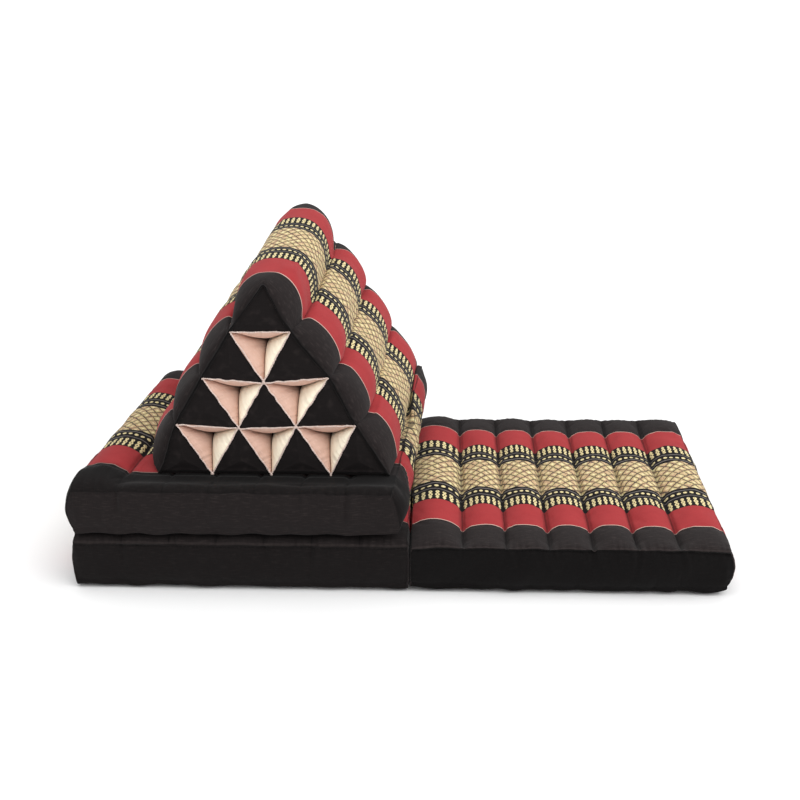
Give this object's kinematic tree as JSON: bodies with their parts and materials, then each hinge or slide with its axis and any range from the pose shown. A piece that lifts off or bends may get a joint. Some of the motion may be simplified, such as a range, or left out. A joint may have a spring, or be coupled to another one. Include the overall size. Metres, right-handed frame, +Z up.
{
  "type": "thai_triangle_cushion",
  "caption": "Thai triangle cushion: a stack of stuffed triangular tubes on a folded mat of channelled pads, in black, red and gold woven cloth.",
  "frame": {"origin": "on the floor, under the middle of the whole cushion's box", "axes": "+X along the mat towards the pad that is folded out, +Y from the front edge to the back along the channels, +Z up"},
  "size_m": [0.9498, 0.5674, 0.4443],
  "materials": {
    "striped_cloth": "woven cotton in black, red and gold bands",
    "wedge_cloth": "woven cotton, black at the ends, banded along the sides, pale lining inside the hollows"
  },
  "bodies": {
    "root": {"pad_upper": "striped_cloth", "pad_lower": "striped_cloth", "pad_outer": "striped_cloth", "wedge_row1_1": "wedge_cloth", "wedge_row2_1": "wedge_cloth", "wedge_row2_2": "wedge_cloth", "wedge_row3_1": "wedge_cloth", "wedge_row3_2": "wedge_cloth", "wedge_row3_3": "wedge_cloth", "wedge_row4_1": "wedge_cloth", "wedge_row4_2": "wedge_cloth", "wedge_row4_3": "wedge_cloth", "wedge_row4_4": "wedge_cloth"}
  },
  "joints": []
}
